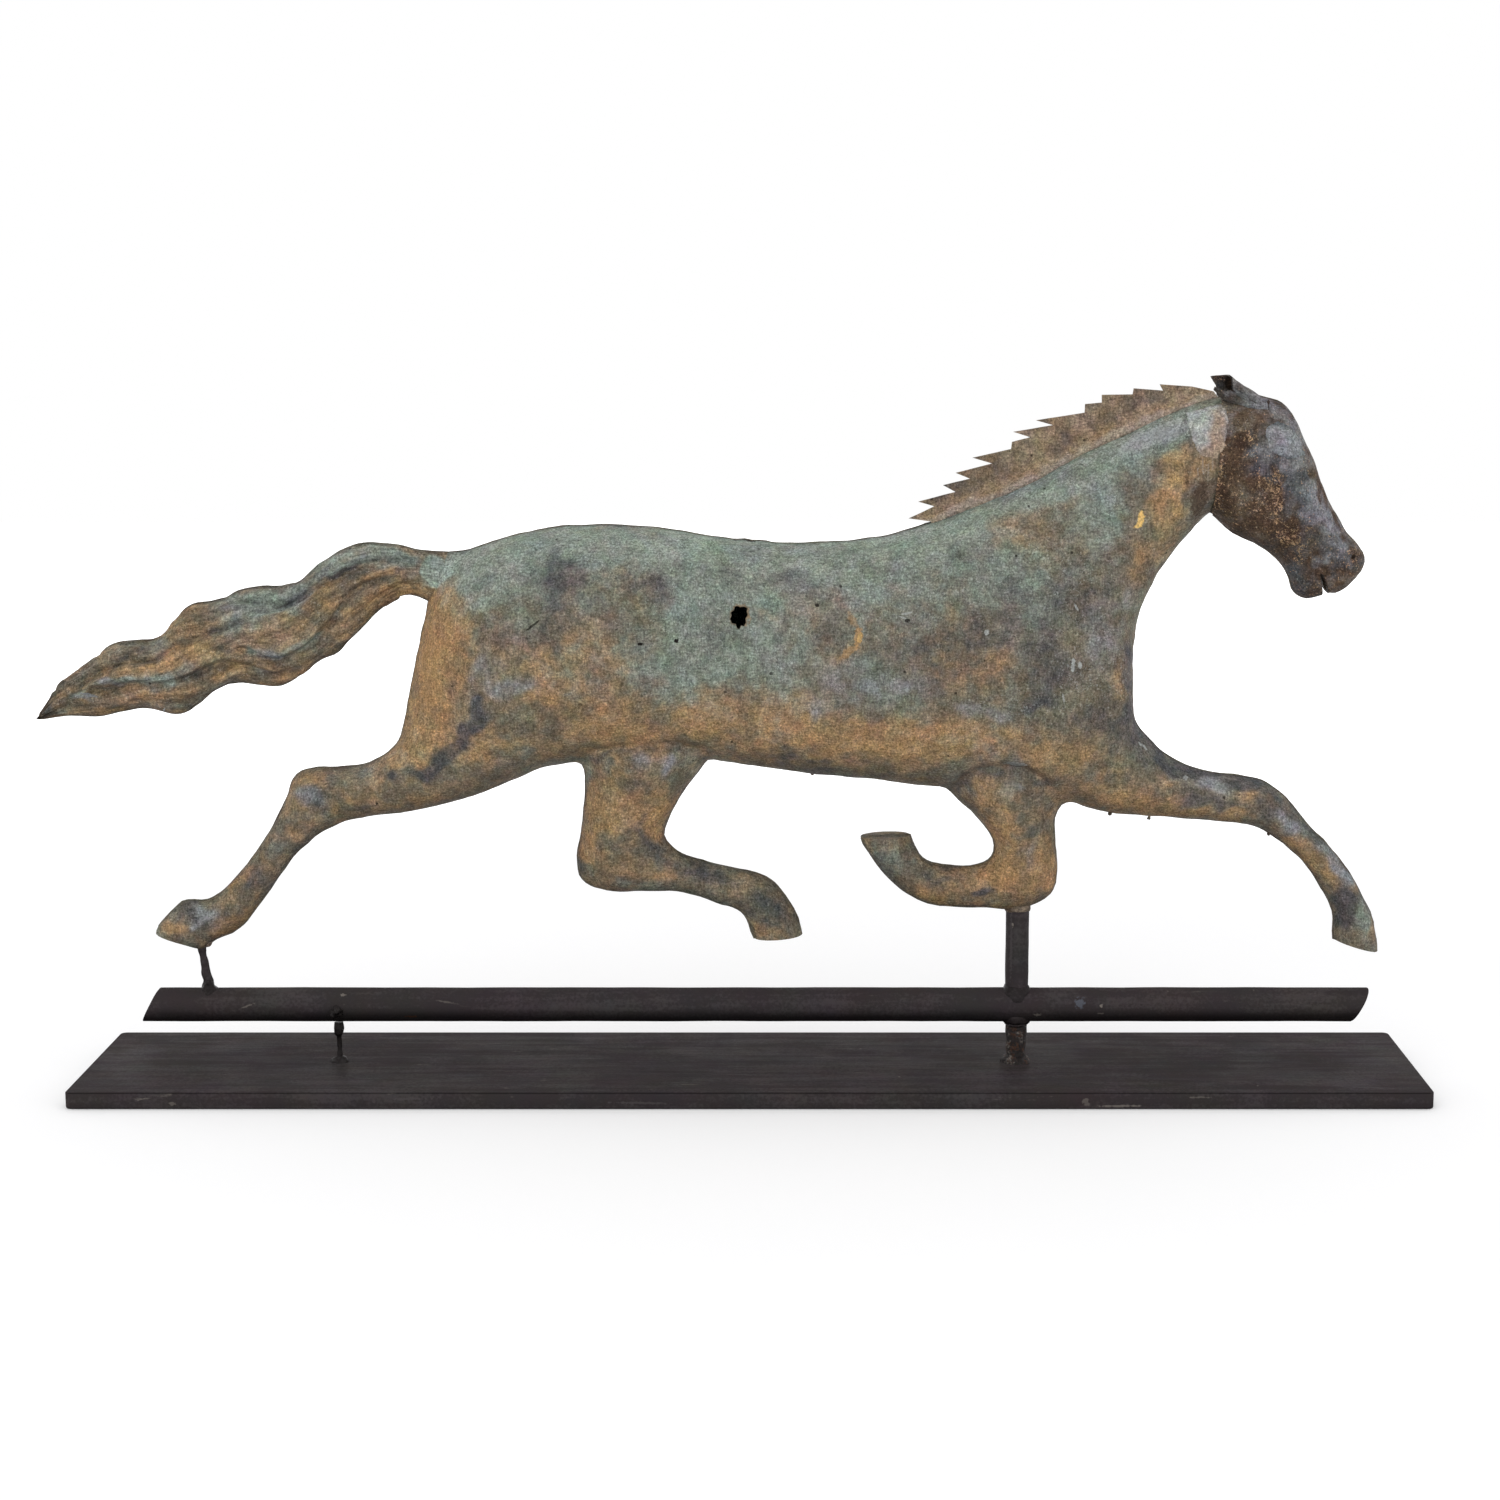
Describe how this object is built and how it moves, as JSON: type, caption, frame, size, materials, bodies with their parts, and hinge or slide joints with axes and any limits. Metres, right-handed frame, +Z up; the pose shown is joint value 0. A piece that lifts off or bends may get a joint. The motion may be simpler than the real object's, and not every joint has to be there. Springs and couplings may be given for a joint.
{
  "type": "horse weathervane",
  "caption": "Hollow running horse vane in sheet metal half shells over a direction rod that turns on a spindle, standing on a flat bar base.",
  "frame": {"origin": "middle of the base plate's underside", "axes": "+Z up, +X the way the horse runs and along the base plate, +Y towards the horse's left side"},
  "size_m": [0.786, 0.127, 0.403],
  "materials": {
    "body_copper": "weathered verdigris over gilt copper, matt",
    "head_copper": "dark brown weathered copper, matt",
    "mane_copper": "brown weathered copper sheet",
    "solder": "dull grey lead solder",
    "black_paint": "satin black paint, lightly scuffed",
    "raw_iron": "rough dark iron",
    "bearing_steel": "plain bright steel",
    "bush_bronze": "plain bronze"
  },
  "bodies": {
    "stand": {"base_plate": "black_paint", "spindle": "raw_iron", "spindle_foot_weld": "raw_iron", "pivot_ball": "bearing_steel", "steady_peg": "black_paint", "steady_peg_weld": "black_paint"},
    "vane": {"direction_rod": "black_paint", "socket_tube": "black_paint", "socket_bush": "bush_bronze", "pivot_cap": "bearing_steel", "post_weld_top": "black_paint", "post_weld_under": "black_paint", "steady_tack": "black_paint", "hoof_prop": "black_paint", "hoof_prop_weld": "black_paint", "hoof_solder": "solder", "knee_collar": "solder", "body_right_shell": "body_copper", "body_left_shell": "body_copper", "head_right_shell": "head_copper", "head_left_shell": "head_copper", "tail_right_shell": "body_copper", "tail_left_shell": "body_copper", "hind_driving_right_shell": "body_copper", "hind_driving_left_shell": "body_copper", "hind_tucked_right_shell": "body_copper", "hind_tucked_left_shell": "body_copper", "fore_folded_right_shell": "body_copper", "fore_folded_left_shell": "body_copper", "fore_reaching_right_shell": "body_copper", "fore_reaching_left_shell": "body_copper", "mane_sheet": "mane_copper", "ear_right": "head_copper", "ear_left": "head_copper", "neck_patch": "solder", "forehead_patch": "solder"}
  },
  "joints": [
    {"name": "vane_turn", "type": "hinge", "parent": "stand", "child": "vane", "pos_m": [0.1525, 0, 0], "axis": [0, 0, 1], "continuous": true}
  ]
}
